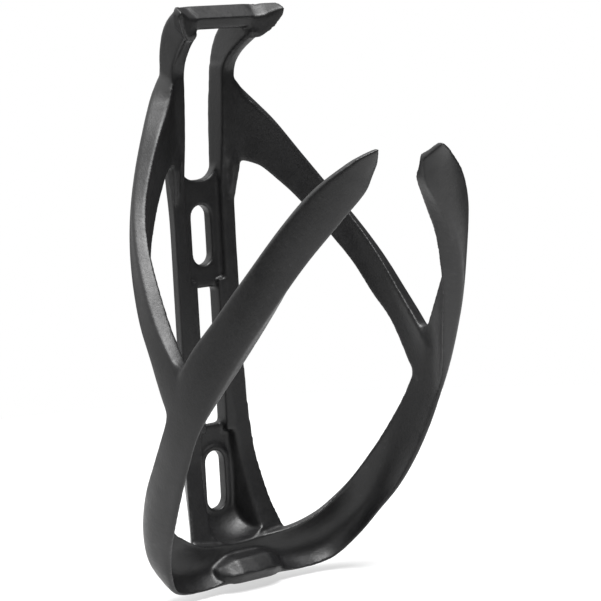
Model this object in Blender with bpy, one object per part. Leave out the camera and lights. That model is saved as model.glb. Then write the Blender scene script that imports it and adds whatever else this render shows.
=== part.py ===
"""Water bottle cage: a one-piece nylon moulding for a bicycle frame, built limb by limb.

Frame: +Z runs up along the bottle's axis and +Y points out of the back, towards the bicycle's tube.
The origin lies on the flat mounting face, half way between the two bolt slots. Lengths are in
millimetres up to the point where a mesh is written, which is in metres. The cage is symmetric about
the plane X = 0, so the right half is described and the left half is its mirror image.

The moulding has four kinds of limb:
  spine   two bolt plates and the bars between them, a channel open towards the bottle
  hook    the posts, bridge and ears at the top that reach over the bottle's shoulder
  cradle  the band and the rest under the bottle, which carry on into the two arms
  wings   on each side an arm that rises round the bottle and a strut that ties it to the spine
"""

import math

import bmesh
import bpy
import numpy as np

# ---------------------------------------------------------------- driving dimensions, in millimetres

MM = 0.001                      # metres in a millimetre
BOLT_SPACING = 64.0             # between the centres of the bolt slots, the usual bottle boss spacing
SLOT_WIDTH = 6.2                # clears an M5 bolt
SLOT_LENGTH = 15.6
BOTTLE_AXIS_Y = -42.6           # the bottle's axis lies this far in front of the mounting face
GAP = 0.3                       # left between neighbouring limbs
EDGE = 0.55                     # chamfer on the edges of the limbs

WEB = 2.5                       # thickness of the bolt plates
CHANNEL_DEPTH = 5.2             # from the mounting face to the front of the spine's flanges
RECESS_HALF = 5.5               # half width of the channel in front of the bolt plates
SPINE_HALF = 9.8                # half width of the spine
WINDOW_HALF = 3.9               # half width of the window between the bolt plates
LONG_SLOT_HALF = 6.3            # half width of the long slot above the upper bolt plate

WINDOW_BOTTOM = -17.3
WINDOW_TOP = 18.4
LONG_SLOT_BOTTOM = 46.2
NECK = 73.6                     # height at which the posts leave the struts and lean forward
FOOT = -45.6                    # height at which the spine meets the cradle

WING_AXIS = (10.3, -1.0, 0.0)   # an upright line at the side of the spine, where a wing bends outwards
HOOK_AXIS = (0.0, -1.7, 73.5)   # a level line across the neck, where the hook bends back

CAGE_GREY = (0.035, 0.036, 0.040, 1.0)

# Each station is (upper edge, lower edge, thickness, bulge). An edge is a point of the limb's outer
# face as (angle, radius, height) about the bottle's axis, where the angle is 0 at the front of the cage
# and 180 at its spine. The thickness goes inwards from the outer face, and the bulge is how far the
# middle of the face stands out beyond its edges.
ARM_STATIONS = [
    ((180.0, 34.6, -46.8), (180.0, 27.0, -58.4), 3.4, 2.2),
    ((166.0, 34.4, -46.0), (164.0, 27.4, -57.8), 3.4, 2.4),
    ((153.0, 33.6, -44.4), (149.0, 28.6, -56.2), 3.4, 2.8),
    ((141.0, 34.2, -41.4), (135.0, 29.9, -53.0), 3.4, 3.4),
    ((132.0, 37.6, -37.4), (123.0, 32.2, -48.2), 3.5, 4.0),
    ((123.0, 40.6, -31.8), (112.5, 34.6, -42.2), 3.6, 3.2),
    ((114.0, 40.8, -25.0), (103.5, 36.3, -36.0), 3.8, 1.8),
    ((105.0, 39.9, -17.2), (95.0, 37.2, -28.2), 3.8, 0.9),
    ((95.5, 39.3, -7.6), (87.0, 37.8, -19.2), 3.7, 0.5),
    ((83.0, 38.7, 8.4), (78.0, 38.2, -9.4), 3.3, 0.5),
    ((69.0, 38.2, 18.8), (63.0, 38.3, 4.8), 3.0, 0.6),
    ((55.5, 39.4, 29.1), (48.0, 39.2, 19.0), 3.2, 0.8),
    ((43.0, 41.6, 39.4), (35.0, 39.3, 30.5), 3.5, 0.8),
    ((32.0, 42.6, 47.6), (23.0, 39.2, 39.2), 3.5, 0.7),
    ((22.0, 43.4, 52.7), (14.0, 39.3, 45.4), 3.3, 0.6),
    ((17.0, 44.3, 54.7), (11.3, 39.5, 48.8), 2.9, 0.4),
    ((13.2, 45.2, 55.7), (9.6, 39.9, 52.0), 2.4, 0.2),
]
STRUT_STATIONS = [
    ((160.0, 41.6, 68.8), (160.0, 42.3, 51.0), 5.8, 0.2),
    ((154.5, 40.4, 64.9), (153.5, 41.0, 49.2), 5.7, 0.3),
    ((148.0, 39.6, 59.8), (146.0, 40.2, 44.0), 5.4, 0.4),
    ((139.0, 39.5, 51.4), (137.0, 40.1, 37.3), 5.2, 0.5),
    ((129.5, 39.6, 42.8), (128.0, 40.3, 30.5), 5.0, 0.5),
    ((119.0, 39.4, 34.0), (119.0, 40.3, 23.0), 4.8, 0.5),
    ((108.5, 39.2, 24.7), (110.5, 40.2, 14.8), 4.4, 0.5),
    ((98.0, 38.9, 15.0), (103.0, 39.7, 7.4), 4.0, 0.5),
]
STRUT_END = (8.92, 8.12)        # where the strut's two edges meet the arm's upper edge, in arm stations

# Where the ribbon of arm and cradle is parted into limbs, counted in stations from the middle.
CRADLE_END = 2.0
CRADLE_ARM_END = 7.3
ELBOW_END = 9.6
ARM_END = 13.0

# ---------------------------------------------------------------- materials and objects


def make_material(name, colour, roughness):
    """A plain non-metallic moulded plastic."""
    material = bpy.data.materials.new(name)
    material.use_nodes = True
    material.diffuse_color = colour
    shader = material.node_tree.nodes["Principled BSDF"]
    shader.inputs["Base Color"].default_value = colour
    shader.inputs["Roughness"].default_value = roughness
    shader.inputs["Metallic"].default_value = 0.0
    return material


def add_object(name, mesh, collection):
    """Puts a mesh into the collection as a named part with its own material."""
    part = bpy.data.objects.new(name, mesh)
    collection.objects.link(part)
    mesh.materials.append(make_material(name + "_nylon", CAGE_GREY, 0.55))
    mesh.shade_smooth()
    mesh.set_sharp_from_angle(angle=math.radians(28.0))
    return part


def loft(name, sections, collection, origin=(0.0, 0.0, 0.0)):
    """One closed body through a row of loops with the same number of points, with its origin placed."""
    work = bmesh.new()
    rings = [[work.verts.new((np.asarray(point) - origin) * MM) for point in loop] for loop in sections]
    count = len(rings[0])
    for first, second in zip(rings, rings[1:]):
        for i in range(count):
            j = (i + 1) % count
            work.faces.new((first[i], first[j], second[j], second[i]))
    work.faces.new(rings[0])
    work.faces.new(rings[-1])
    bmesh.ops.recalc_face_normals(work, faces=work.faces)
    mesh = bpy.data.meshes.new(name)
    work.to_mesh(mesh)
    work.free()
    part = add_object(name, mesh, collection)
    part.location = np.array(origin) * MM
    return part


def mirrored(sections):
    """The same loops on the other side of the plane X = 0."""
    return [[(-x, y, z) for x, y, z in loop] for loop in sections]


# ---------------------------------------------------------------- curves and sections


def through(values, s):
    """A smooth curve through the rows of values (Catmull-Rom), at s counted in rows."""
    values = np.asarray(values, dtype=float)
    i = min(max(int(math.floor(s)), 0), len(values) - 2)
    t = s - i
    before = values[max(i - 1, 0)]
    a = values[i]
    b = values[i + 1]
    after = values[min(i + 2, len(values) - 1)]
    slope_a = (b - before) / 2.0
    slope_b = (after - a) / 2.0
    return ((2 * t**3 - 3 * t**2 + 1) * a + (t**3 - 2 * t**2 + t) * slope_a
            + (3 * t**2 - 2 * t**3) * b + (t**3 - t**2) * slope_b)


def around_bottle(angle, radius, height):
    """A point given by its angle, radius and height about the bottle's axis."""
    turn = math.radians(angle)
    return np.array((radius * math.sin(turn), BOTTLE_AXIS_Y - radius * math.cos(turn), height))


def flatten(stations):
    """Each station as one row of numbers."""
    return np.array([(*upper, *lower, thickness, bulge) for upper, lower, thickness, bulge in stations])


def ribbon_edges(rows, s):
    """Upper and lower edge of the outer face, thickness and bulge at s."""
    row = through(rows, s)
    return around_bottle(*row[0:3]), around_bottle(*row[3:6]), row[6], row[7]


def chamfered(corners, bevel):
    """The loop of corners with each sharp corner, marked True, cut back by the bevel."""
    loop = []
    for i, (point, sharp) in enumerate(corners):
        if not sharp:
            loop.append(point)
            continue
        for other in (corners[i - 1][0], corners[(i + 1) % len(corners)][0]):
            side = other - point
            loop.append(point + side / np.linalg.norm(side) * bevel)
    return loop


def shell_section(upper, lower, outward, thickness, bulge):
    """The closed loop of a ribbon: outer face from upper to lower edge, and the inner face behind it."""
    crown = (upper + lower) / 2 + outward * bulge
    inward = -outward * thickness
    return chamfered([(upper, True), (crown, False), (lower, True),
                      (lower + inward, True), (crown + inward, False), (upper + inward, True)], EDGE)


def ribbon_directions(rows, s):
    """Unit vectors along the ribbon at s and out of its outer face."""
    upper, lower = ribbon_edges(rows, s)[0:2]
    step = 0.02
    ahead = sum(ribbon_edges(rows, s + step)[0:2]) - sum(ribbon_edges(rows, s - step)[0:2])
    ahead /= np.linalg.norm(ahead)
    outward = np.cross(upper - lower, ahead)
    outward /= np.linalg.norm(outward)
    middle = (upper + lower) / 2
    if outward @ (middle - (0.0, BOTTLE_AXIS_Y, middle[2])) < 0:
        outward = -outward
    return ahead, outward


def ribbon_section(rows, s, shift=0.0):
    """The closed loop round the ribbon at s, moved along the ribbon by shift."""
    upper, lower, thickness, bulge = ribbon_edges(rows, s)
    ahead, outward = ribbon_directions(rows, s)
    return [point + ahead * shift for point in shell_section(upper, lower, outward, thickness, bulge)]


def strut_root():
    """The strut's end against the slot rail, an upright rectangle in a plane of constant X."""
    x = SPINE_HALF + 0.2 + GAP
    upper = np.array((x, -1.3, 71.6))
    lower = np.array((x, -0.4, 49.6))
    return shell_section(upper, lower, np.array((0.0, 1.0, 0.0)), 5.8, 0.0)


def strut_end(arm):
    """The strut's end against the arm, just above the arm's upper edge."""
    clear = np.array((0.0, 0.0, 2 * GAP))
    upper, lower = [ribbon_edges(arm, s)[0] + clear for s in STRUT_END]
    outward = ribbon_directions(arm, sum(STRUT_END) / 2)[1]
    return shell_section(upper, lower, outward, 3.7, 0.4)


def ribbon_limb(rows, start, end, steps, start_gap=True, end_gap=True):
    """The loops of one limb of a ribbon, drawn back by half a gap at each parted end."""
    sections = []
    for k in range(steps + 1):
        s = start + (end - start) * k / steps
        shift = 0.0
        if k == 0 and start_gap:
            shift = GAP / 2
        if k == steps and end_gap:
            shift = -GAP / 2
        sections.append(ribbon_section(rows, s, shift))
    return sections


def box_section(x_low, x_high, y_low, y_high, z, bevel=EDGE):
    """A level rectangle with chamfered corners."""
    corners = [np.array((x, y, z)) for x, y in
               ((x_low, y_low), (x_high, y_low), (x_high, y_high), (x_low, y_high))]
    return chamfered([(corner, True) for corner in corners], bevel)


# ---------------------------------------------------------------- wings and cradle


def build_wings(collection):
    """Both arms, in four limbs each, and both struts."""
    arm = flatten(ARM_STATIONS)
    strut = flatten(STRUT_STATIONS)
    limbs = {
        "cradle_arm": ribbon_limb(arm, CRADLE_END, CRADLE_ARM_END, 11),
        "elbow": ribbon_limb(arm, CRADLE_ARM_END, ELBOW_END, 5),
        "arm": ribbon_limb(arm, ELBOW_END, ARM_END, 8),
        "arm_tip": ribbon_limb(arm, ARM_END, len(arm) - 1.0, 7, end_gap=False),
        "strut": [strut_root(), *ribbon_limb(strut, 0.0, len(strut) - 1.0, 14, False, False), strut_end(arm)],
    }
    x, y, z = WING_AXIS
    for name, sections in limbs.items():
        loft("right_" + name, sections, collection, (x, y, z))
        loft("left_" + name, mirrored(sections), collection, (-x, y, z))


def build_cradle_band(collection):
    """The band under the bottle, across the middle from one arm to the other."""
    rows = flatten(ARM_STATIONS)
    half = ribbon_limb(rows, 0.25, CRADLE_END, 4, start_gap=False)
    middle = level_middle(rows)
    loft("cradle_band", mirrored(half[::-1]) + [middle] + half, collection)


def level_middle(rows):
    """The band's section in the plane X = 0."""
    upper, lower, thickness, bulge = ribbon_edges(rows, 0.0)
    rise = (upper - lower) / np.linalg.norm(upper - lower)
    outward = np.array((0.0, rise[2], -rise[1]))
    return shell_section(upper, lower, outward, thickness, bulge)


def build_bottle_rest(collection):
    """A wedge on the inside of the band whose top carries the bottle's base."""
    half_width = 6.0
    end_taper = 1.2
    shoulder = half_width - end_taper
    rows = ((-half_width, 0.75), (-shoulder, 1.0), (shoulder, 1.0), (half_width, 0.75))
    profile = [(-17.0, -50.4), (-22.0, -50.0), (-23.2, -51.2), (-21.4, -55.4), (-19.9, -54.6)]
    centre = np.mean(profile, axis=0)
    sections = []
    for x, shrink in rows:
        loop = [centre + (np.array(point) - centre) * shrink for point in profile]
        sections.append([(x, y, z) for y, z in loop])
    loft("bottle_rest", sections, collection)


# ---------------------------------------------------------------- spine


def channel_section(half, recess, z, front=-CHANNEL_DEPTH, web=WEB, draft=1.6):
    """A level section of the channel: flat back, two flanges and the recess between them."""
    corners = [(half, front), (half - draft, 0.0), (-half + draft, 0.0), (-half, front),
               (-recess, front), (-recess, -web), (recess, -web), (recess, front)]
    return [np.array((x, y, z)) for x, y in corners]


def cut_slot(part, height, cutters):
    """Cuts a bolt slot with round ends through a plate, at the given height."""
    arc_steps = 8
    radius = SLOT_WIDTH / 2
    reach = SLOT_LENGTH / 2 - radius
    outline = []
    for side, start in ((1, 0.0), (-1, math.pi)):
        for k in range(arc_steps + 1):
            turn = start + math.pi * k / arc_steps
            rise = side * reach + radius * math.sin(turn)
            outline.append((radius * math.cos(turn), height + rise))
    sections = [[(x, y, z) for x, z in outline] for y in (-2 * CHANNEL_DEPTH, CHANNEL_DEPTH)]
    cutter = loft(part.name + "_slot_cutter", sections, cutters)
    cutter.hide_render = True
    cutter.display_type = "WIRE"
    cut = part.modifiers.new("bolt_slot", "BOOLEAN")
    cut.operation = "DIFFERENCE"
    cut.solver = "EXACT"
    cut.object = cutter


def build_bolt_plates(collection, cutters):
    """The upper and lower plates that the bolts clamp, each with its slot."""
    upper = [channel_section(SPINE_HALF, RECESS_HALF, WINDOW_TOP),
             channel_section(SPINE_HALF - 0.2, RECESS_HALF, 36.0),
             channel_section(SPINE_HALF + 0.2, RECESS_HALF + 0.4, LONG_SLOT_BOTTOM - GAP)]
    plate = loft("upper_bolt_plate", upper, collection)
    cut_slot(plate, BOLT_SPACING / 2, cutters)
    foot_half = 7.2
    top_half = 5.6
    lower = []
    for half, z in ((top_half, WINDOW_BOTTOM), (foot_half, -30.0), (foot_half, FOOT + 1.4)):
        lower.append(box_section(-half, half, -WEB, 0.0, z, bevel=0.3))
    plate = loft("lower_bolt_plate", lower, collection)
    cut_slot(plate, -BOLT_SPACING / 2, cutters)


def build_spine_bars(collection):
    """The bars beside the window, the rails beside the long slot and the flanges at the foot."""
    window_bar = [box_section(WINDOW_HALF, SPINE_HALF - 0.2, -CHANNEL_DEPTH, 0.0, WINDOW_TOP - GAP),
                  box_section(WINDOW_HALF, SPINE_HALF, -CHANNEL_DEPTH, 0.0, 4.0),
                  box_section(WINDOW_HALF + 0.8, SPINE_HALF + 0.5, -CHANNEL_DEPTH, 0.0, WINDOW_BOTTOM + GAP)]
    slot_rail = [box_section(LONG_SLOT_HALF - 0.4, SPINE_HALF + 0.2, -CHANNEL_DEPTH, 0.0, LONG_SLOT_BOTTOM),
                 box_section(LONG_SLOT_HALF, SPINE_HALF + 0.2, -6.6, -0.4, 56.0),
                 box_section(LONG_SLOT_HALF, SPINE_HALF, -7.4, -1.0, 65.0),
                 box_section(LONG_SLOT_HALF, SPINE_HALF, -7.8, -1.7, NECK - GAP)]
    flange_rows = [  # height, inner half width, outer half width, front, back
        (WINDOW_BOTTOM, 5.9, 10.3, -5.2, 0.0),
        (-24.0, 6.9, 10.6, -5.8, 0.0),
        (-31.0, 7.5, 11.0, -7.0, 0.0),
        (-38.0, 7.5, 11.8, -8.8, -1.0),
        (FOOT + 1.4, 7.5, 13.0, -11.0, -3.0),
    ]
    flange = [box_section(inner, outer, front, back, z) for z, inner, outer, front, back in flange_rows]
    for name, sections in (("window_bar", window_bar), ("slot_rail", slot_rail), ("foot_flange", flange)):
        loft("right_" + name, sections, collection)
        loft("left_" + name, mirrored(sections), collection)


def build_foot(collection):
    """The ramp that carries the lower bolt plate and the flanges down to the cradle."""
    rows = [  # height, half width, front, back
        (FOOT + 1.1, 12.6, -9.4, -0.9),
        (FOOT - 1.6, 12.2, -7.6, -1.9),
        (FOOT - 4.6, 11.0, -7.2, -3.6),
    ]
    sections = [box_section(-half, half, front, back, z, bevel=0.8) for z, half, front, back in rows]
    loft("cradle_foot", sections, collection)


# ---------------------------------------------------------------- hook


def hook_quad(half_low, half_high, points):
    """A loop in a slanted plane: two (y, z) corners, front and back, between two values of X."""
    (front_y, front_z), (back_y, back_z) = points
    corners = [np.array(corner) for corner in
               ((half_low, front_y, front_z), (half_high, front_y, front_z),
                (half_high, back_y, back_z), (half_low, back_y, back_z))]
    return chamfered([(corner, True) for corner in corners], EDGE)


def build_hook(collection):
    """The posts that lean forward from the neck, the bridge between them and the ears outside."""
    post_rows = [  # inner and outer half width, front corner, back corner
        (6.3, 9.8, ((-7.8, NECK), (-1.7, NECK))),
        (6.3, 9.9, ((-8.6, 76.4), (-2.1, 78.4))),
        (6.6, 10.2, ((-10.8, 79.2), (-4.2, 83.4))),
        (7.2, 10.9, ((-14.0, 81.4), (-8.4, 87.0))),
        (7.6, 11.6, ((-18.0, 83.6), (-14.2, 89.6))),
    ]
    posts = [hook_quad(low, high, points) for low, high, points in post_rows]
    loft("right_hook_post", posts, collection, HOOK_AXIS)
    loft("left_hook_post", mirrored(posts), collection, HOOK_AXIS)
    bridge_profile = [(-18.6, 84.4), (-18.9, 87.4), (-15.6, 89.4),
                      (-11.2, 87.9), (-12.6, 85.6), (-15.4, 84.2)]
    bridge_half = 6.6
    bridge = [[(x, y, z) for y, z in bridge_profile] for x in (-bridge_half, bridge_half)]
    loft("hook_bridge", bridge, collection, HOOK_AXIS)
    ear_rows = [  # X, front lower, front upper, back upper, back lower corner, each as (y, z)
        (11.9, ((-17.4, 83.4), (-18.6, 86.6), (-14.6, 89.8), (-12.6, 86.6))),
        (14.4, ((-18.3, 84.9), (-19.2, 87.6), (-15.8, 90.2), (-14.2, 87.8))),
        (16.6, ((-19.2, 86.9), (-19.8, 88.6), (-17.4, 90.4), (-16.4, 89.0))),
        (17.5, ((-19.4, 88.2), (-19.6, 89.0), (-18.2, 90.0), (-17.8, 89.4))),
    ]
    ears = [[(x, y, z) for y, z in corners] for x, corners in ear_rows]
    loft("right_hook_ear", ears, collection, HOOK_AXIS)
    loft("left_hook_ear", mirrored(ears), collection, HOOK_AXIS)


# ---------------------------------------------------------------- assembly


def main():
    for old in list(bpy.data.objects):
        bpy.data.objects.remove(old, do_unlink=True)
    cage = bpy.data.collections.new("water_bottle_cage")
    cutters = bpy.data.collections.new("cutters")
    for collection in (cage, cutters):
        bpy.context.scene.collection.children.link(collection)
    build_bolt_plates(cage, cutters)
    build_spine_bars(cage)
    build_foot(cage)
    build_cradle_band(cage)
    build_bottle_rest(cage)
    build_hook(cage)
    build_wings(cage)


main()
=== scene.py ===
"""Looks for the moulded bottle cage: one smooth nylon body, parted into the limbs of the CAD model.

Lengths in this script are in millimetres in the row frame up to the point where a mesh is written. The
right half of the cage is described and the left half is its mirror image in the plane X = 0.
"""

import math

import bmesh
import bpy
import numpy as np
from mathutils import Matrix, Vector


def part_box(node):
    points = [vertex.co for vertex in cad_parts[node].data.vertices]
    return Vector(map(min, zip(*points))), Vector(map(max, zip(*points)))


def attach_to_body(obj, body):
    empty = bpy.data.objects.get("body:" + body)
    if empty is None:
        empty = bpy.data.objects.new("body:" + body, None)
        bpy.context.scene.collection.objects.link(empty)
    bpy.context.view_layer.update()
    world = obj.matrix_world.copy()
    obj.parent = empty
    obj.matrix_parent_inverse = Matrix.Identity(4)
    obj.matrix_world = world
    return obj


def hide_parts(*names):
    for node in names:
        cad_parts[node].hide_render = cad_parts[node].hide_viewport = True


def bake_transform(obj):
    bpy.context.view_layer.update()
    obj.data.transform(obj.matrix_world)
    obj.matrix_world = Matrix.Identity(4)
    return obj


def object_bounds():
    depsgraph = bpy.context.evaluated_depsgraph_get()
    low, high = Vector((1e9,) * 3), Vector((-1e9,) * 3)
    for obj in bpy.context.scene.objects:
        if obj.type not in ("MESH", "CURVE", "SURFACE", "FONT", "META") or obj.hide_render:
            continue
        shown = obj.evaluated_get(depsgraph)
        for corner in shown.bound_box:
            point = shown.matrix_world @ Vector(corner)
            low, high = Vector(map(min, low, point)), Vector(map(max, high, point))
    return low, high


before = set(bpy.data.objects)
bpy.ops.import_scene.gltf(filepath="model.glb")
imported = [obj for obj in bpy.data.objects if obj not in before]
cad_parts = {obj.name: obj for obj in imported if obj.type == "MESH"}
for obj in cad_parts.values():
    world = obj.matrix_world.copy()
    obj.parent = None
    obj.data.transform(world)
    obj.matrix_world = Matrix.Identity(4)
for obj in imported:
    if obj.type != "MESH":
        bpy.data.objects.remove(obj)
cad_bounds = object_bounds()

MM = 0.001  # one millimetre, in metres

# ---------------------------------------------------------------- sizes taken from the CAD model


def node_box(name):
    """Lowest and highest corner of a CAD node, in millimetres."""
    low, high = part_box(name)
    return np.array(low) / MM, np.array(high) / MM


UPPER_PLATE_LOW = node_box("upper_bolt_plate")[0]
LOWER_PLATE_HIGH = node_box("lower_bolt_plate")[1]
RAIL_LOW, RAIL_HIGH = node_box("right_slot_rail")

CHANNEL = -UPPER_PLATE_LOW[1]
WINDOW_TOP = UPPER_PLATE_LOW[2]
WINDOW_BOTTOM = LOWER_PLATE_HIGH[2]
PLATE_TOP = RAIL_LOW[2]
NECK = RAIL_HIGH[2]

# ---------------------------------------------------------------- sizes of the moulding

BOTTLE_AXIS_Y = -42.6
EDGE = 0.6  # how far from a corner its rounding starts
WEB = 2.5
PLATE_FRONT = 3.3
SLOT_HALF = 5.5
WINDOW_INNER_HALF = 3.3
BOLT_HEIGHT = 32.0
BOLT_SLOT_HALF = 3.05
BOLT_SLOT_REACH = 4.7
OVERLAP = 0.6  # how far a filled corner runs into the walls beside it
FILLET_OVERLAP = 0.8
VOXEL = 0.34  # grid on which the solids are fused
SMOOTHING_ROUNDS = 8
STATION_STEP = 0.02  # a short step along a ribbon, counted in stations

# Each station is (upper edge, lower edge, thickness at each, bulge, lean). An edge is (angle, radius,
# height) about the bottle's axis, with the angle 0 at the front of the cage and 180 at its spine. The bulge
# crowns the outer face, and the lean raises the inner side of the upper edge.
ARM_STATIONS = [
    ((180.0, 34.6, -46.8), (180.0, 27.0, -56.5), 3.4, 3.0, 2.2, 0.0),
    ((166.0, 34.4, -46.2), (164.0, 28.3, -56.5), 3.4, 2.8, 2.6, 0.0),
    ((153.0, 33.6, -45.0), (149.0, 32.0, -56.6), 3.4, 2.4, 3.4, 0.0),
    ((141.0, 34.4, -42.2), (135.0, 35.5, -55.0), 3.4, 2.0, 4.2, 0.0),
    ((132.0, 37.8, -38.3), (123.0, 36.1, -49.4), 3.6, 1.6, 4.3, 0.0),
    ((123.0, 40.8, -32.4), (112.5, 36.6, -42.2), 3.8, 1.4, 3.2, 0.0),
    ((114.0, 41.1, -25.4), (103.5, 37.2, -35.8), 3.9, 1.3, 2.0, 0.0),
    ((105.0, 40.5, -17.5), (95.0, 38.0, -27.8), 3.8, 1.3, 1.1, 0.0),
    ((95.5, 40.2, -7.9), (87.0, 38.7, -18.8), 3.5, 1.3, 0.6, 0.0),
    ((83.0, 39.7, 7.6), (78.0, 39.2, -8.0), 3.0, 1.4, 0.5, 0.0),
    ((69.0, 39.1, 18.5), (63.0, 39.1, 6.3), 3.3, 4.2, 0.6, 0.0),
    ((55.5, 40.1, 29.0), (48.0, 39.7, 19.6), 3.1, 5.6, 0.8, 0.0),
    ((43.0, 42.0, 39.3), (35.0, 39.7, 30.6), 2.8, 5.8, 0.9, 0.0),
    ((32.0, 42.9, 47.5), (23.0, 39.4, 39.2), 2.6, 5.7, 0.8, 0.0),
    ((22.0, 43.6, 52.6), (14.0, 39.5, 45.4), 2.3, 4.8, 0.6, 0.0),
    ((17.0, 44.5, 54.6), (11.4, 39.7, 48.8), 2.0, 3.2, 0.4, 0.0),
    ((12.4, 45.4, 55.9), (9.6, 40.1, 52.0), 1.6, 2.2, 0.2, 0.0),
]
STRUT_STATIONS = [
    ((168.0, 41.8, 75.0), (168.0, 42.5, 50.6), 5.6, 5.6, 0.0, 0.0),
    ((160.5, 40.9, 69.7), (160.0, 42.3, 50.6), 5.8, 5.8, 0.2, 0.0),
    ((154.5, 40.0, 65.2), (153.5, 41.0, 49.0), 5.7, 5.7, 0.3, 0.1),
    ((148.0, 39.4, 60.1), (146.0, 40.2, 44.0), 5.2, 5.4, 0.4, 0.4),
    ((139.0, 39.5, 51.7), (137.0, 40.1, 37.2), 4.5, 5.2, 0.5, 0.6),
    ((129.5, 39.8, 43.1), (128.0, 40.4, 30.2), 3.9, 5.0, 0.5, 0.8),
    ((119.0, 39.8, 34.3), (119.0, 40.5, 23.0), 3.7, 4.8, 0.5, 1.2),
    ((108.5, 39.8, 25.0), (110.5, 40.5, 14.5), 4.1, 4.6, 0.5, 1.4),
    ((98.0, 39.8, 15.1), (103.0, 40.4, 7.7), 4.3, 4.0, 0.5, 1.1),
    ((87.0, 39.7, 6.0), (95.0, 40.0, -3.6), 3.8, 3.2, 0.4, 0.4),
    ((83.0, 39.6, 1.5), (90.5, 39.8, -8.0), 2.8, 3.0, 0.4, 0.0),
]
CRADLE_MIDDLE = (0.4, 0.3, 0.2)  # stations of the arm that are joined to their mirror images

# Where a strut meets its arm: (angle, height) of the V above the junction and of the hole's corner below.
V_CORNER = (86.0, 5.8)
HOLE_CORNER = (93.5, -5.2)

# ---------------------------------------------------------------- partings between the limbs

ARM_PARTINGS = (2.0, 7.3, 9.6, 13.0)  # counted in the arm's stations
ARM_PARTING_SPARE = 4.0  # how far past the ribbon's edges a parting reaches
JUNCTION_RADIUS = 39.0
V_LIFT = 1.2  # height of the rounded V above its sharp corner
HOLE_SHIFT = (1.7, 0.2)  # angle and height from the hole's sharp corner to its rounded one
JUNCTION_SPARE = (6.0, 1.8, 1.8)
UPRIGHT_PARTINGS = [  # point, then the reach either side of it
    ((10.5, -3.0, 59.0), (2.0, 9.0, 16.0)),  # slot rail and strut
    ((6.0, -15.0, 86.5), (2.0, 8.0, 8.0)),  # bridge and hook post
    ((11.6, -16.0, 86.8), (2.0, 8.0, 8.0)),  # hook post and ear
]
CLEAR = 0.8  # a level parting passes this far inside an opening of the spine, clear of its end
FOOT_TOP = -43.0
LEVEL_PARTINGS = [  # height, then a little more than the half width of the spine there
    (NECK, 11.0),
    (PLATE_TOP + CLEAR, 11.0),
    (WINDOW_TOP - CLEAR, 11.0),
    (WINDOW_BOTTOM + CLEAR, 15.0),
    (FOOT_TOP, 15.0),
]
LEVEL_MIDDLE_Y = -6.0
LEVEL_REACH = (12.0, 1.5)  # in Y and in height
SAME_POINT = 1e-8  # in metres
SMALLEST_LIMB = 50  # a stretch with fewer faces is a crumb left by a cut
SHARED_SKINS = [("cradle", ("cradle_band", "cradle_foot", "bottle_rest")),
                ("lower_bolt_plate", ("lower_bolt_plate", "left_foot_flange", "right_foot_flange"))]

# ---------------------------------------------------------------- camera and studio

CAMERA_AZIMUTH = -38.0
CAMERA_ELEVATION = 7.0
CAMERA_ROLL = 3.1
CAMERA_TARGET = (0.0, -42.56, 17.6)
CAMERA_DISTANCE = 556.8
FOCAL_LENGTH = 136.9
SENSOR_WIDTH = 36.0
WALL_SIDE = (-0.35, 0.55, 0.76)  # direction of the middle of the white wall
WALL_SPREAD = (0.35, 0.90)  # cosines from that direction at which the wall begins and is full
WALL_STRENGTH = 1.6
ROOM_STRENGTH = 0.12
FLOOR_RADIUS = 0.32  # this and the lengths and places below are in metres
FLOOR_GAP = 0.0002
FLOOR_CORNERS = 96
LAMP_PLACE = (0.0, -0.25, 0.76)
LAMP_TARGET = (0.0, -0.04, 0.02)
LAMP_SIZE = 0.50
LAMP_POWER = 13.0  # in watts

# ---------------------------------------------------------------- curves


def through(values, s):
    """A smooth curve through the rows of values (Catmull-Rom), at s counted in rows."""
    values = np.asarray(values, dtype=float)
    i = min(max(int(math.floor(s)), 0), len(values) - 2)
    t = s - i
    before = values[max(i - 1, 0)]
    a = values[i]
    b = values[i + 1]
    after = values[min(i + 2, len(values) - 1)]
    slope_a = (b - before) / 2.0
    slope_b = (after - a) / 2.0
    return ((2 * t**3 - 3 * t**2 + 1) * a + (t**3 - 2 * t**2 + t) * slope_a
            + (3 * t**2 - 2 * t**3) * b + (t**3 - t**2) * slope_b)


def around_bottle(angle, radius, height):
    """A point given by its angle, radius and height about the bottle's axis."""
    turn = math.radians(angle)
    return np.array((radius * math.sin(turn), BOTTLE_AXIS_Y - radius * math.cos(turn), height))


def flatten(stations):
    """Each station as one row of numbers."""
    return np.array([(*upper, *lower, *rest) for upper, lower, *rest in stations])


def rounded(corners, arc_points=3):
    """The loop of (point, radius) corners, each rounded by a curve that starts its radius away from it."""
    loop = []
    count = len(corners)
    for i, (point, radius) in enumerate(corners):
        if radius <= 0:
            loop.append(point)
            continue
        before = corners[i - 1][0] - point
        after = corners[(i + 1) % count][0] - point
        start = point + before / np.linalg.norm(before) * radius
        end = point + after / np.linalg.norm(after) * radius
        for k in range(arc_points + 1):
            t = k / arc_points
            loop.append((1 - t)**2 * start + 2 * t * (1 - t) * point + t**2 * end)
    return loop


def box_loop(x_low, x_high, y_low, y_high, z, edge=EDGE):
    """A level rectangle with rounded corners."""
    corners = [(np.array((x, y, z)), edge) for x, y in
               ((x_low, y_low), (x_high, y_low), (x_high, y_high), (x_low, y_high))]
    return rounded(corners)


def slot_outline(height, half_width, reach, steps=10):
    """A slot with round ends, as (x, z) points."""
    outline = []
    for side, start in ((1, 0.0), (-1, math.pi)):
        middle = height + side * reach
        for k in range(steps + 1):
            turn = start + math.pi * k / steps
            outline.append((half_width * math.cos(turn), middle + half_width * math.sin(turn)))
    return outline


# ---------------------------------------------------------------- ribbons


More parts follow.
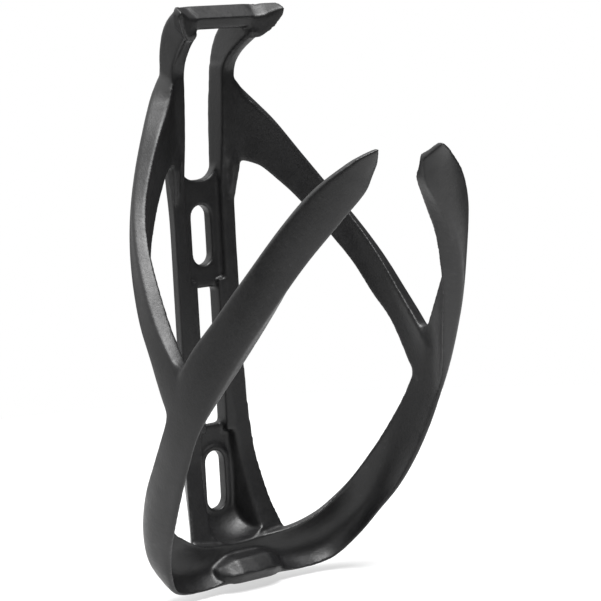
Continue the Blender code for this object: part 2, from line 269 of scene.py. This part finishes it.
def shell_loop(upper, lower, outward, upper_thickness, lower_thickness, bulge, lean):
    """The closed loop of a ribbon: a crowned outer face, and the inner face behind it.

    Where the ribbon leans outwards its inner face would stand above its upper edge, so it is kept below.
    """
    down = (lower - upper) / np.linalg.norm(lower - upper)
    inner_upper = upper - outward * upper_thickness
    above = inner_upper[2] - upper[2]
    if above > 0:
        inner_upper = inner_upper - down * above / down[2]
    inner_upper = inner_upper - down * lean
    inner_lower = lower - outward * lower_thickness
    outer = []
    inner = []
    pieces = 8
    for k in range(1, pieces):
        t = k / pieces
        rise = outward * bulge * 4 * t * (1 - t)
        outer.append((upper * (1 - t) + lower * t + rise, 0.0))
        inner.append((inner_upper * (1 - t) + inner_lower * t + rise, 0.0))
    corners = [(upper, EDGE), *outer, (lower, EDGE), (inner_lower, EDGE), *inner[::-1], (inner_upper, EDGE)]
    return rounded(corners)


def ribbon_edges(rows, s):
    """Upper and lower edge of the outer face at s, then the two thicknesses, the bulge and the lean."""
    row = through(rows, s)
    return around_bottle(*row[0:3]), around_bottle(*row[3:6]), *row[6:]


def ribbon_direction(rows, s):
    """The way the ribbon runs at s, not of unit length."""
    return sum(ribbon_edges(rows, s + STATION_STEP)[0:2]) - sum(ribbon_edges(rows, s - STATION_STEP)[0:2])


def ribbon_loop(rows, s):
    """The closed loop round a ribbon at s."""
    upper, lower, *thicknesses_bulge_lean = ribbon_edges(rows, s)
    ahead = ribbon_direction(rows, s)
    ahead /= np.linalg.norm(ahead)
    outward = np.cross(upper - lower, ahead)
    outward /= np.linalg.norm(outward)
    middle = (upper + lower) / 2
    if outward @ (middle - (0.0, BOTTLE_AXIS_Y, middle[2])) < 0:
        outward = -outward
    return shell_loop(upper, lower, outward, *thicknesses_bulge_lean)


# ---------------------------------------------------------------- raw solids, before they are fused


class Solids:
    """Closed overlapping solids, gathered in one mesh."""

    def __init__(self):
        self.work = bmesh.new()

    def loft(self, sections, mirror=False):
        """Adds a closed body through a row of loops, and its mirror image where asked."""
        for sign in ((1, -1) if mirror else (1,)):
            rings = []
            for loop in sections:
                rings.append([self.work.verts.new((sign * x * MM, y * MM, z * MM)) for x, y, z in loop])
            count = len(rings[0])
            faces = []
            for first, second in zip(rings, rings[1:]):
                for i in range(count):
                    j = (i + 1) % count
                    faces.append(self.work.faces.new((first[i], first[j], second[j], second[i])))
            faces.append(self.work.faces.new(rings[0]))
            faces.append(self.work.faces.new(rings[-1]))
            bmesh.ops.recalc_face_normals(self.work, faces=faces)

    def object(self, name):
        """The gathered solids as an object in the scene."""
        mesh = bpy.data.meshes.new(name)
        self.work.to_mesh(mesh)
        self.work.free()
        thing = bpy.data.objects.new(name, mesh)
        bpy.context.scene.collection.objects.link(thing)
        return thing


def add_wings(solids):
    """Both arms, from the middle of the cradle to the tips, and both struts."""
    arm = flatten(ARM_STATIONS)
    strut = flatten(STRUT_STATIONS)
    steps_per_station = 6
    for rows, first in ((arm, 1), (strut, 0)):
        last = len(rows) - 1
        count = last * steps_per_station
        solids.loft([ribbon_loop(rows, last * k / count) for k in range(first, count + 1)], mirror=True)
    middle = [ribbon_loop(arm, s) for s in CRADLE_MIDDLE]
    solids.loft([[(-x, y, z) for x, y, z in loop] for loop in middle] + middle[::-1])


def add_wall_patch(solids, outline, outer_radius, thickness):
    """A patch of wall between two radii about the bottle's axis; the outline is made of (angle, height)."""
    sections = []
    for radius in (outer_radius, outer_radius - thickness):
        sections.append([around_bottle(angle, radius, height) for angle, height in outline])
    solids.loft(sections, mirror=True)


def add_fillet(solids, corner, edge_ends, radius, outer_radius, thickness):
    """Fills the corner between two straight edges of a wing with an arc; points are (angle, height)."""
    scale = math.radians(outer_radius)
    c = np.array((corner[0] * scale, corner[1]))
    a, b = [np.array((angle * scale, height)) - c for angle, height in edge_ends]
    a /= np.linalg.norm(a)
    b /= np.linalg.norm(b)
    half = math.acos(float(np.clip(a @ b, -1, 1))) / 2
    reach = radius / math.tan(half)
    centre = c + (a + b) / np.linalg.norm(a + b) * radius / math.sin(half)
    start = c + a * reach
    end = c + b * reach
    outline = [c - (a + b) * FILLET_OVERLAP, start - b * FILLET_OVERLAP]
    steps = 8
    for k in range(steps + 1):
        t = k / steps
        direction = (start - centre) * (1 - t) + (end - centre) * t
        outline.append(centre + direction / np.linalg.norm(direction) * radius)
    outline.append(end - a * FILLET_OVERLAP)
    add_wall_patch(solids, [(u / scale, z) for u, z in outline], outer_radius, thickness)


def add_junctions(solids):
    """Rounds the V above each junction of strut and arm, and the hole's corner below it."""
    v_ends = ((75.0, 14.6), (98.0, 15.0))
    add_fillet(solids, V_CORNER, v_ends, radius=2.2, outer_radius=39.2, thickness=2.2)
    hole_ends = ((103.0, -16.0), (99.5, 2.6))
    add_fillet(solids, HOLE_CORNER, hole_ends, radius=5.2, outer_radius=39.8, thickness=2.8)


def side_loop(inner, back_inner, outer, back_outer, front, back, z):
    """A level loop of one side of the spine, whose two side faces lean in towards the back."""
    corners = [(inner, front), (outer, front), (back_outer, back), (back_inner, back)]
    return rounded([(np.array((x, y, z)), EDGE) for x, y in corners])


def add_spine_sides(solids):
    """The two long sides of the spine, from the neck to the cradle: rails, bars and flanges."""
    rows = np.array([  # height; inner, back inner, outer and back outer half width; front, back
        (NECK + 2.0, 5.9, 5.6, 9.8, 9.6, -8.4, -2.1),
        (65.0, 5.8, 5.3, 9.8, 9.4, -7.6, -1.0),
        (56.0, 5.8, 5.2, 10.0, 9.2, -6.8, -0.4),
        (PLATE_TOP, 5.7, 5.2, 10.0, 8.6, -5.4, 0.0),
        (36.0, 5.6, 5.0, 9.8, 8.0, -5.2, 0.0),
        (WINDOW_TOP, 5.4, 4.8, 9.8, 8.0, -5.2, 0.0),
        (4.0, 4.2, 3.8, 9.9, 8.0, -5.2, 0.0),
        (-10.0, 4.4, 3.6, 10.3, 8.0, -5.2, 0.0),
        (-24.0, 6.0, 3.8, 11.3, 8.0, -5.8, 0.0),
        (-31.0, 6.8, 4.0, 12.2, 8.2, -7.0, 0.0),
        (-38.0, 7.4, 4.2, 13.3, 8.4, -8.8, -1.0),
        (-43.5, 7.6, 5.0, 14.6, 9.2, -10.8, -2.7),
        (-47.5, 7.6, 6.0, 15.6, 10.6, -12.4, -4.6),
    ])
    steps = 5
    sections = []
    for k in range((len(rows) - 1) * steps + 1):
        z, *widths_and_depths = through(rows, k / steps)
        sections.append(side_loop(*widths_and_depths, z))
    solids.loft(sections, mirror=True)


def add_bolt_plates(solids):
    """The webs between the sides of the spine that the two bolts hold."""
    edge = 0.3
    upper_half = 7.0
    solids.loft([box_loop(-upper_half, upper_half, -PLATE_FRONT, 0.0, z, edge)
                 for z in (WINDOW_TOP, PLATE_TOP)])
    lower_half = 5.0
    lower_end = -44.0
    solids.loft([box_loop(-lower_half, lower_half, -WEB, 0.0, z, edge)
                 for z in (lower_end, WINDOW_BOTTOM)])
    wide_half = 7.8
    wide_rows = ((-0.6, -43.0), (-0.1, -40.0), (-0.2, -33.0))  # back and height
    solids.loft([box_loop(-wide_half, wide_half, -WEB, back, z, edge) for back, z in wide_rows])


def add_window_bars(solids):
    """The inner strips of the bars beside the window, which narrow it."""
    edge = 0.4
    outer = 7.0
    front = -CHANNEL + 0.3
    ends_overlap = 2.0
    heights = (WINDOW_BOTTOM - ends_overlap, WINDOW_TOP + ends_overlap)
    solids.loft([box_loop(WINDOW_INNER_HALF, outer, front, 0.0, z, edge) for z in heights], mirror=True)


def add_gussets(solids):
    """The swellings of the spine where the struts' lower edges run into it."""
    rows = (  # height, outer half width, front
        (40.5, 9.8, -5.3),
        (45.0, 10.2, -6.4),
        (49.5, 10.9, -7.2),
        (54.0, 10.4, -6.9),
        (58.0, 9.8, -6.4),
    )
    inner = 8.0
    back = -4.0
    solids.loft([box_loop(inner, outer, front, back, z) for z, outer, front in rows], mirror=True)


def add_lower_corners(solids, half_width, height, radius, front):
    """Rounds both lower corners of an opening of the spine, whose lower end is at the height."""
    side = half_width + OVERLAP
    outline = [(side, height - OVERLAP), (side, height + radius)]
    steps = 6
    for k in range(steps + 1):
        turn = math.pi / 2 * k / steps
        x = half_width - radius + radius * math.cos(turn)
        outline.append((x, height + (radius - radius * math.sin(turn))))
    outline.append((half_width - radius, height - OVERLAP))
    just_inside_back = -0.05
    solids.loft([[(x, y, z) for x, z in outline] for y in (front, just_inside_back)], mirror=True)


def add_bolt_boss(solids):
    """The low ring round the lower bolt slot."""
    ring_width = 1.5
    ring_height = 0.6
    inside_web = -1.0
    outline = slot_outline(-BOLT_HEIGHT, BOLT_SLOT_HALF + ring_width, BOLT_SLOT_REACH)
    solids.loft([[(x, y, z) for x, z in outline] for y in (-WEB - ring_height, inside_web)])


def add_spine(solids):
    """The spine behind the bottle, whose back lies on the bicycle's tube."""
    add_spine_sides(solids)
    add_bolt_plates(solids)
    add_window_bars(solids)
    add_gussets(solids)
    add_lower_corners(solids, SLOT_HALF, PLATE_TOP, radius=4.4, front=-PLATE_FRONT)
    add_lower_corners(solids, WINDOW_INNER_HALF, WINDOW_BOTTOM, radius=1.0, front=-WEB)
    add_bolt_boss(solids)


def add_foot(solids):
    """The hollow ramp that carries the lower bolt plate forward and down into the cradle."""
    half_width = 8.0
    points_across = 13
    front_start = np.array((-2.3, -37.0))  # each of these is (y, z)
    front_run = np.array((9.6, 10.4))
    back_start = np.array((-0.1, -40.0))
    back_run = np.array((9.4, 10.4))
    first_hollow = 0.6
    hollow_growth = 2.6
    steps = 12
    sections = []
    for k in range(steps + 1):
        turn = math.pi / 2 * k / steps
        done = np.array((1 - math.cos(turn), math.sin(turn)))
        front = front_start - front_run * done
        back = back_start - back_run * done
        hollow = first_hollow + hollow_growth * k / steps
        lift = np.array((-math.cos(turn), math.sin(turn))) * hollow
        loop = []
        for x in np.linspace(-half_width, half_width, points_across):
            y, z = front + lift * (x / half_width)**2
            loop.append((x, y, z))
        loop += [(half_width, *back), (-half_width, *back)]
        sections.append(loop)
    solids.loft(sections)


def add_rest(solids):
    """The low shelf on the cradle that the bottle stands on."""
    rows = [  # X; then (y, z) of the root, the top edge, the front edge and the two corners underneath
        (0.0, (-12.0, -49.5), (-17.0, -49.9), (-20.2, -53.4), (-17.6, -56.4), (-15.5, -55.4)),
        (5.2, (-12.2, -49.6), (-16.9, -50.0), (-20.0, -53.5), (-17.6, -56.4), (-15.5, -55.4)),
        (7.8, (-12.8, -50.6), (-16.0, -51.2), (-18.8, -53.9), (-17.3, -56.0), (-15.4, -55.1)),
        (10.2, (-13.6, -51.8), (-14.8, -52.4), (-16.0, -54.0), (-15.6, -55.2), (-14.6, -54.6)),
    ]
    half = [[(x, y, z) for y, z in profile] for x, *profile in rows]
    other_half = [[(-x, y, z) for x, y, z in loop] for loop in half[:0:-1]]
    solids.loft(other_half + half)


def add_hook_posts(solids):
    """The two posts that lean forward from the neck."""
    rows = [  # inner and outer half width, front corner, back corner
        (5.9, 9.8, (-8.2, NECK), (-1.9, NECK)),
        (6.1, 9.9, (-9.4, 76.0), (-2.4, 78.2)),
        (6.8, 10.3, (-12.0, 78.6), (-4.4, 83.4)),
        (7.6, 11.1, (-15.0, 80.8), (-8.4, 87.2)),
        (8.2, 12.0, (-18.2, 82.8), (-14.2, 90.0)),
    ]
    flat = np.array([(inner, outer, *front, *back) for inner, outer, front, back in rows])
    steps = 5
    sections = []
    for k in range((len(flat) - 1) * steps + 1):
        inner, outer, front_y, front_z, back_y, back_z = through(flat, k / steps)
        corners = [(inner, front_y, front_z), (outer, front_y, front_z),
                   (outer, back_y, back_z), (inner, back_y, back_z)]
        sections.append(rounded([(np.array(corner), EDGE) for corner in corners]))
    solids.loft(sections, mirror=True)


def add_hook_bridge(solids):
    """The bar across the two posts, with a lip along its front."""
    half_width = 9.0
    profile = [(-17.6, 84.4), (-18.8, 87.0), (-15.2, 90.3), (-11.2, 89.2), (-12.6, 86.2), (-15.4, 84.2)]
    solids.loft([[(x, y, z) for y, z in profile] for x in (-half_width, half_width)])


def add_hook_ears(solids):
    """The ears that reach sideways and forward from the ends of the bridge."""
    rows = [  # X, then front lower, front upper, back upper and back lower corner, each as (y, z)
        (9.0, ((-17.0, 81.2), (-18.8, 86.8), (-14.4, 90.3), (-11.0, 85.0))),
        (11.5, ((-18.0, 81.4), (-19.6, 87.1), (-15.4, 90.3), (-12.6, 85.8))),
        (13.4, ((-19.3, 82.8), (-20.8, 88.0), (-16.8, 90.5), (-14.6, 86.6))),
        (15.0, ((-20.7, 84.9), (-21.9, 88.6), (-18.6, 90.5), (-17.0, 88.0))),
        (16.2, ((-21.5, 86.8), (-22.3, 88.6), (-20.0, 90.0), (-19.0, 88.6))),
    ]
    solids.loft([[(x, y, z) for y, z in corners] for x, corners in rows], mirror=True)


# ---------------------------------------------------------------- one skin round all the solids


def make_cutters():
    """The two bolt slots, as one object to take away."""
    in_front = -9.0
    behind = 3.0
    cutters = Solids()
    for height in (BOLT_HEIGHT, -BOLT_HEIGHT):
        outline = slot_outline(height, BOLT_SLOT_HALF, BOLT_SLOT_REACH)
        cutters.loft([[(x, y, z) for x, z in outline] for y in (in_front, behind)])
    return cutters.object("cutters")


def evaluated_copy(thing, name):
    """A new mesh with the object's modifiers applied; the object is removed."""
    depsgraph = bpy.context.evaluated_depsgraph_get()
    mesh = bpy.data.meshes.new_from_object(thing.evaluated_get(depsgraph))
    mesh.name = name
    bpy.data.objects.remove(thing, do_unlink=True)
    return mesh


def fuse(solids, cutters):
    """One skin round the solids, less the cutters."""
    body = solids.object("moulding")
    skin = body.modifiers.new("fuse", "REMESH")
    skin.mode = "VOXEL"
    skin.voxel_size = VOXEL * MM
    cut = body.modifiers.new("openings", "BOOLEAN")
    cut.operation = "DIFFERENCE"
    cut.solver = "EXACT"
    cut.object = cutters
    again = body.modifiers.new("even", "REMESH")
    again.mode = "VOXEL"
    again.voxel_size = VOXEL * MM
    mesh = evaluated_copy(body, "moulding")
    bpy.data.objects.remove(cutters, do_unlink=True)
    return mesh


def smooth_mesh(mesh, rounds, factor=0.5):
    """Laplacian smoothing of all the vertices, by their neighbours along edges."""
    count = len(mesh.vertices)
    points = np.empty(count * 3)
    mesh.vertices.foreach_get("co", points)
    points = points.reshape(-1, 3)
    edges = np.empty(len(mesh.edges) * 2, dtype=np.int64)
    mesh.edges.foreach_get("vertices", edges)
    edges = edges.reshape(-1, 2)
    both = np.concatenate((edges, edges[:, ::-1]))
    neighbours = np.bincount(both[:, 0], minlength=count)
    for _ in range(rounds):
        mean = np.stack([np.bincount(both[:, 0], points[both[:, 1], axis], minlength=count)
                         for axis in range(3)], axis=1) / neighbours[:, None]
        points += (mean - points) * factor
    mesh.vertices.foreach_set("co", points.ravel())
    mesh.update()


def make_moulding():
    """The whole cage as one smooth closed mesh, which keeps its own normals in an attribute."""
    solids = Solids()
    add_wings(solids)
    add_junctions(solids)
    add_spine(solids)
    add_foot(solids)
    add_rest(solids)
    add_hook_posts(solids)
    add_hook_bridge(solids)
    add_hook_ears(solids)
    mesh = fuse(solids, make_cutters())
    smooth_mesh(mesh, SMOOTHING_ROUNDS)
    normals = np.empty(len(mesh.vertices) * 3, dtype=np.float32)
    mesh.vertex_normals.foreach_get("vector", normals)
    mesh.attributes.new("moulding_normal", "FLOAT_VECTOR", "POINT").data.foreach_set("vector", normals)
    return mesh


# ---------------------------------------------------------------- the parting into limbs


def parting_planes():
    """Where the moulding is parted: (point, normal, lowest corner, highest corner of the stretch)."""
    planes = []

    def add_pair(point, normal, reach):
        for sign in (1, -1):
            side = np.array((sign, 1, 1))
            middle = point * side
            planes.append((middle, normal * side, middle - reach, middle + reach))

    arm = flatten(ARM_STATIONS)
    for s in ARM_PARTINGS:
        upper, lower = ribbon_edges(arm, s)[0:2]
        across = upper - lower
        normal = np.cross(across, np.cross(ribbon_direction(arm, s), across))
        normal /= np.linalg.norm(normal)
        add_pair((upper + lower) / 2, normal, np.linalg.norm(across) / 2 + ARM_PARTING_SPARE)
    notch = around_bottle(V_CORNER[0], JUNCTION_RADIUS, V_CORNER[1] + V_LIFT)
    corner = around_bottle(HOLE_CORNER[0] + HOLE_SHIFT[0], JUNCTION_RADIUS, HOLE_CORNER[1] + HOLE_SHIFT[1])
    middle = (notch + corner) / 2
    outward = middle - (0.0, BOTTLE_AXIS_Y, middle[2])
    normal = np.cross(notch - corner, outward)
    reach = np.abs(notch - corner) / 2 + JUNCTION_SPARE
    add_pair(middle, normal / np.linalg.norm(normal), reach)
    sideways = np.array((1.0, 0.0, 0.0))
    for point, reach in UPRIGHT_PARTINGS:
        add_pair(np.array(point), sideways, np.array(reach))
    level = np.array((0.0, 0.0, 1.0))
    for height, half_width in LEVEL_PARTINGS:
        middle = np.array((0.0, LEVEL_MIDDLE_Y, height))
        reach = np.array((half_width, *LEVEL_REACH))
        planes.append((middle, level, middle - reach, middle + reach))
    return planes


def face_centres(faces):
    """The middles of the faces, in metres."""
    return np.array([face.calc_center_median()[:] for face in faces])


def cut_apart(mesh):
    """Cuts the mesh along the parting planes. The stretches then share no edges."""
    work = bmesh.new()
    work.from_mesh(mesh)
    faces = list(work.faces)
    centres = face_centres(faces) / MM
    for point, normal, low, high in parting_planes():
        near = np.nonzero(np.all((centres > low) & (centres < high), axis=1))[0]
        stretch = [faces[i] for i in near]
        edges = list({edge for face in stretch for edge in face.edges})
        verts = list({vert for face in stretch for vert in face.verts})
        result = bmesh.ops.bisect_plane(work, geom=verts + edges + stretch, dist=SAME_POINT,
                                        plane_co=np.asarray(point) * MM, plane_no=normal)
        cut_edges = [e for e in result["geom_cut"] if isinstance(e, bmesh.types.BMEdge)]
        bmesh.ops.split_edges(work, edges=cut_edges)
        known = set(stretch)
        new = [f for f in result["geom"] if isinstance(f, bmesh.types.BMFace) and f not in known]
        if new:
            faces += new
            centres = np.concatenate((centres, face_centres(new) / MM))
    work.normal_update()
    return work


def islands(work):
    """The faces of each stretch that shares no edge with another."""
    work.faces.index_update()
    seen = np.zeros(len(work.faces), dtype=bool)
    groups = []
    for start in work.faces:
        if seen[start.index]:
            continue
        seen[start.index] = True
        group = [start]
        for face in group:
            for edge in face.edges:
                for other in edge.link_faces:
                    if not seen[other.index]:
                        seen[other.index] = True
                        group.append(other)
        groups.append(group)
    return groups


def limb_mesh(name, faces, moulding_normal):
    """A closed mesh of the faces, with flat caps over its ends, and the number of faces before the caps."""
    work = bmesh.new()
    kept_normal = work.verts.layers.float_vector.new("moulding_normal")
    copies = {}
    for face in faces:
        loop = []
        for vert in face.verts:
            if vert not in copies:
                copies[vert] = work.verts.new(vert.co)
                copies[vert][kept_normal] = vert[moulding_normal]
            loop.append(copies[vert])
        work.faces.new(loop)
    skin_faces = len(work.faces)
    open_edges = [edge for edge in work.edges if edge.is_boundary]
    bmesh.ops.holes_fill(work, edges=open_edges, sides=0)
    bmesh.ops.recalc_face_normals(work, faces=work.faces)
    for face in work.faces:
        face.smooth = True
    mesh = bpy.data.meshes.new(name)
    work.to_mesh(mesh)
    work.free()
    return mesh, skin_faces


def keep_normals(mesh, skin_faces):
    """Gives the skin the moulding's own normals, so that no seam shows, and the caps flat ones."""
    normals = np.empty(len(mesh.vertices) * 3, dtype=np.float32)
    mesh.attributes["moulding_normal"].data.foreach_get("vector", normals)
    normals = normals.reshape(-1, 3)
    corner_vertex = np.empty(len(mesh.loops), dtype=np.int32)
    mesh.loops.foreach_get("vertex_index", corner_vertex)
    corner_normals = normals[corner_vertex]
    for polygon in mesh.polygons[skin_faces:]:
        corner_normals[polygon.loop_start:polygon.loop_start + polygon.loop_total] = polygon.normal
    shortest = 1e-9
    corner_normals /= np.maximum(np.linalg.norm(corner_normals, axis=1), shortest)[:, None]
    mesh.normals_split_custom_set(corner_normals.tolist())
    mesh.attributes.remove(mesh.attributes["moulding_normal"])


def nearest_node(centre):
    """The CAD node whose middle is nearest to a point, in metres."""
    best = None
    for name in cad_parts:
        low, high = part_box(name)
        gap = ((Vector(low) + Vector(high)) / 2 - Vector(centre)).length
        if best is None or gap < best[0]:
            best = (gap, name)
    return best[1]


def skin_of(node_name):
    """The name of the skin that stands for a CAD node, and all the nodes that it stands for."""
    for name, nodes in SHARED_SKINS:
        if node_name in nodes:
            return name, nodes
    return node_name, (node_name,)


def attach(piece, name):
    """Makes a limb ride on its CAD body; a strut, a cradle arm or a hook post is only fixed where it stands,
    on no body.
    """
    side = -1.0 if name.startswith("left") else 1.0
    wing = "left_wing" if side < 0 else "right_wing"

    def blend_sideways():
        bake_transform(piece)

    if name.endswith("_strut"):
        blend_sideways()
    elif name.endswith("_cradle_arm"):
        blend_sideways()
    elif name.endswith("_hook_post"):
        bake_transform(piece)
    elif "hook" in name:
        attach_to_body(piece, "hook")
    elif name.endswith(("_elbow", "_arm", "_arm_tip")):
        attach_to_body(piece, wing)
    else:
        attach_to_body(piece, "root")


def make_limbs(moulding, material):
    """Parts the moulding, and gives each limb to the CAD nodes that it stands for."""
    work = cut_apart(moulding)
    moulding_normal = work.verts.layers.float_vector["moulding_normal"]
    for faces in islands(work):
        if len(faces) < SMALLEST_LIMB:
            continue
        centres = face_centres(faces)
        name = nearest_node((centres.min(axis=0) + centres.max(axis=0)) / 2)
        mesh, skin_faces = limb_mesh(name, faces, moulding_normal)
        keep_normals(mesh, skin_faces)
        mesh.materials.append(material)
        skin_name, nodes = skin_of(name)
        piece = bpy.data.objects.new(skin_name + "_skin", mesh)
        bpy.context.scene.collection.objects.link(piece)
        attach(piece, name)
        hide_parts(*nodes)
    work.free()


# ---------------------------------------------------------------- materials


def node(tree, kind, **values):
    """A new node with the given properties."""
    made = tree.nodes.new(kind)
    for key, value in values.items():
        setattr(made, key, value)
    return made


def noise(tree, place, scale, detail, roughness):
    """Noise at a scale in cycles per metre."""
    made = node(tree, "ShaderNodeTexNoise")
    made.inputs["Scale"].default_value = scale
    made.inputs["Detail"].default_value = detail
    made.inputs["Roughness"].default_value = roughness
    tree.links.new(place, made.inputs["Vector"])
    return made.outputs["Fac"]


def ramp(tree, value, low, high, low_out, high_out):
    """The value, stretched from low..high to low_out..high_out."""
    made = node(tree, "ShaderNodeMapRange")
    made.inputs["From Min"].default_value = low
    made.inputs["From Max"].default_value = high
    made.inputs["To Min"].default_value = low_out
    made.inputs["To Max"].default_value = high_out
    tree.links.new(value, made.inputs["Value"])
    return made.outputs["Result"]


def math_node(tree, operation, a, b):
    """Two values combined; each is a number or another node's output."""
    made = node(tree, "ShaderNodeMath", operation=operation)
    for socket, value in zip(made.inputs, (a, b)):
        if isinstance(value, float):
            socket.default_value = value
        else:
            tree.links.new(value, socket)
    return made.outputs["Value"]


def colour_mix(tree, factor, first, second):
    """A colour between two greys or colours, by the factor."""
    mix = node(tree, "ShaderNodeMix", data_type="RGBA")
    mix.inputs["A"].default_value = (*first, 1.0)
    mix.inputs["B"].default_value = (*second, 1.0)
    tree.links.new(factor, mix.inputs["Factor"])
    return mix.outputs["Result"]


def make_nylon():
    """Glass-filled nylon as moulded: nearly black, with a fine grain and faint flow marks; its sharp edges
    are lighter in colour, partly as wear and partly as a painted highlight.
    """
    material = bpy.data.materials.new("moulded_nylon")
    material.use_nodes = True
    tree = material.node_tree
    shader = tree.nodes["Principled BSDF"]
    shader.inputs["Metallic"].default_value = 0.0
    shader.inputs["IOR"].default_value = 1.53
    shader.inputs["Specular IOR Level"].default_value = 0.40
    place = node(tree, "ShaderNodeTexCoord").outputs["Object"]

    blotch = noise(tree, place, scale=55.0, detail=3.0, roughness=0.55)
    flow = noise(tree, place, scale=260.0, detail=4.0, roughness=0.6)
    grain = noise(tree, place, scale=1500.0, detail=3.0, roughness=0.65)
    fibre = noise(tree, place, scale=3800.0, detail=2.0, roughness=0.5)
    # edge marks where the surface turns sharply; the lighter colour it gives there is partly wear and partly
    # a painted highlight
    edge = ramp(tree, node(tree, "ShaderNodeNewGeometry").outputs["Pointiness"], 0.53, 0.62, 0.0, 1.0)

    shade = math_node(tree, "ADD", ramp(tree, blotch, 0.3, 0.7, 0.0, 0.45),
                      ramp(tree, grain, 0.35, 0.75, 0.0, 0.35))
    # the sharp edges lighten the base colour: partly wear, partly a painted highlight
    shade = math_node(tree, "ADD", shade, math_node(tree, "MULTIPLY", edge, 0.5))
    colour = colour_mix(tree, shade, (0.0040, 0.0040, 0.0043), (0.0125, 0.0124, 0.0130))
    tree.links.new(colour, shader.inputs["Base Color"])

    rough = math_node(tree, "ADD", ramp(tree, flow, 0.3, 0.7, 0.36, 0.46),
                      ramp(tree, grain, 0.3, 0.7, -0.04, 0.05))
    rough = math_node(tree, "SUBTRACT", rough, math_node(tree, "MULTIPLY", edge, 0.06))
    tree.links.new(rough, shader.inputs["Roughness"])

    height = math_node(tree, "ADD", math_node(tree, "MULTIPLY", flow, 0.5),
                       math_node(tree, "MULTIPLY", grain, 0.35))
    height = math_node(tree, "ADD", height, math_node(tree, "MULTIPLY", fibre, 0.12))
    bump = node(tree, "ShaderNodeBump")
    bump.inputs["Strength"].default_value = 0.55
    bump.inputs["Distance"].default_value = 0.00022
    tree.links.new(height, bump.inputs["Height"])
    tree.links.new(bump.outputs["Normal"], shader.inputs["Normal"])
    return material


def make_floor_material():
    """Matte white paper, with a trace of tooth."""
    material = bpy.data.materials.new("studio_paper")
    material.use_nodes = True
    tree = material.node_tree
    shader = tree.nodes["Principled BSDF"]
    shader.inputs["Roughness"].default_value = 0.9
    shader.inputs["Specular IOR Level"].default_value = 0.1
    shader.inputs["Emission Color"].default_value = (1.0, 1.0, 1.0, 1.0)
    shader.inputs["Emission Strength"].default_value = 0.55
    tooth = node(tree, "ShaderNodeTexNoise")
    tooth.inputs["Scale"].default_value = 900.0
    colour = colour_mix(tree, tooth.outputs["Fac"], (0.35, 0.35, 0.35), (0.37, 0.37, 0.37))
    tree.links.new(colour, shader.inputs["Base Color"])
    return material


# ---------------------------------------------------------------- studio


def make_world():
    """A dim room with a white wall high behind on the left. The camera sees it plain white."""
    world = bpy.data.worlds.new("studio_room")
    bpy.context.scene.world = world
    world.use_nodes = True
    tree = world.node_tree
    background = tree.nodes["Background"]
    background.inputs["Color"].default_value = (1.0, 1.0, 1.0, 1.0)
    direction = node(tree, "ShaderNodeTexCoord").outputs["Generated"]
    facing = node(tree, "ShaderNodeVectorMath", operation="DOT_PRODUCT")
    tree.links.new(direction, facing.inputs[0])
    facing.inputs[1].default_value = WALL_SIDE
    wall = node(tree, "ShaderNodeMapRange", interpolation_type="SMOOTHSTEP")
    wall.inputs["From Min"].default_value = WALL_SPREAD[0]
    wall.inputs["From Max"].default_value = WALL_SPREAD[1]
    wall.inputs["To Min"].default_value = ROOM_STRENGTH
    wall.inputs["To Max"].default_value = WALL_STRENGTH
    tree.links.new(facing.outputs["Value"], wall.inputs["Value"])
    seen = node(tree, "ShaderNodeLightPath").outputs["Is Camera Ray"]
    mix = node(tree, "ShaderNodeMix", data_type="FLOAT")
    tree.links.new(seen, mix.inputs["Factor"])
    tree.links.new(wall.outputs["Result"], mix.inputs["A"])
    mix.inputs["B"].default_value = 1.0
    tree.links.new(mix.outputs["Result"], background.inputs["Strength"])


def make_floor():
    """A round pale floor just under the cage."""
    work = bmesh.new()
    bmesh.ops.create_circle(work, cap_ends=True, cap_tris=False, segments=FLOOR_CORNERS, radius=FLOOR_RADIUS)
    mesh = bpy.data.meshes.new("floor")
    work.to_mesh(mesh)
    work.free()
    floor = bpy.data.objects.new("floor", mesh)
    floor.location = (0.0, BOTTLE_AXIS_Y * MM, cad_bounds[0][2] - FLOOR_GAP)
    mesh.materials.append(make_floor_material())
    bpy.context.scene.collection.objects.link(floor)


def make_lamp():
    """A soft square lamp overhead, a little in front of the cage."""
    lamp = bpy.data.lights.new("overhead", "AREA")
    lamp.shape = "SQUARE"
    lamp.size = LAMP_SIZE
    lamp.energy = LAMP_POWER
    thing = bpy.data.objects.new("overhead", lamp)
    thing.location = LAMP_PLACE
    thing.rotation_euler = (Vector(LAMP_TARGET) - Vector(LAMP_PLACE)).to_track_quat("-Z", "Y").to_euler()
    bpy.context.scene.collection.objects.link(thing)


def make_camera():
    """The camera, at the front left and slightly above, with a little roll."""
    azimuth = math.radians(CAMERA_AZIMUTH)
    elevation = math.radians(CAMERA_ELEVATION)
    roll = math.radians(CAMERA_ROLL)
    back = Vector((math.sin(azimuth) * math.cos(elevation),
                   -math.cos(azimuth) * math.cos(elevation), math.sin(elevation)))
    level_right = Vector((math.cos(azimuth), math.sin(azimuth), 0.0))
    level_up = back.cross(level_right)
    right = level_right * math.cos(roll) - level_up * math.sin(roll)
    up = level_right * math.sin(roll) + level_up * math.cos(roll)
    camera = bpy.data.cameras.new("camera")
    camera.sensor_width = SENSOR_WIDTH
    camera.lens = FOCAL_LENGTH
    camera.clip_start = 0.01
    thing = bpy.data.objects.new("camera", camera)
    bpy.context.scene.collection.objects.link(thing)
    target = Vector(CAMERA_TARGET) * MM
    turn = Matrix((right, up, back)).transposed().to_4x4()
    thing.matrix_world = Matrix.Translation(target + back * CAMERA_DISTANCE * MM) @ turn
    bpy.context.scene.camera = thing


def main():
    """Makes the camera, the cage, the room, the floor and the lamp."""
    make_camera()
    make_limbs(make_moulding(), make_nylon())
    make_world()
    make_floor()
    make_lamp()
    bpy.context.scene.view_settings.view_transform = "Standard"


main()
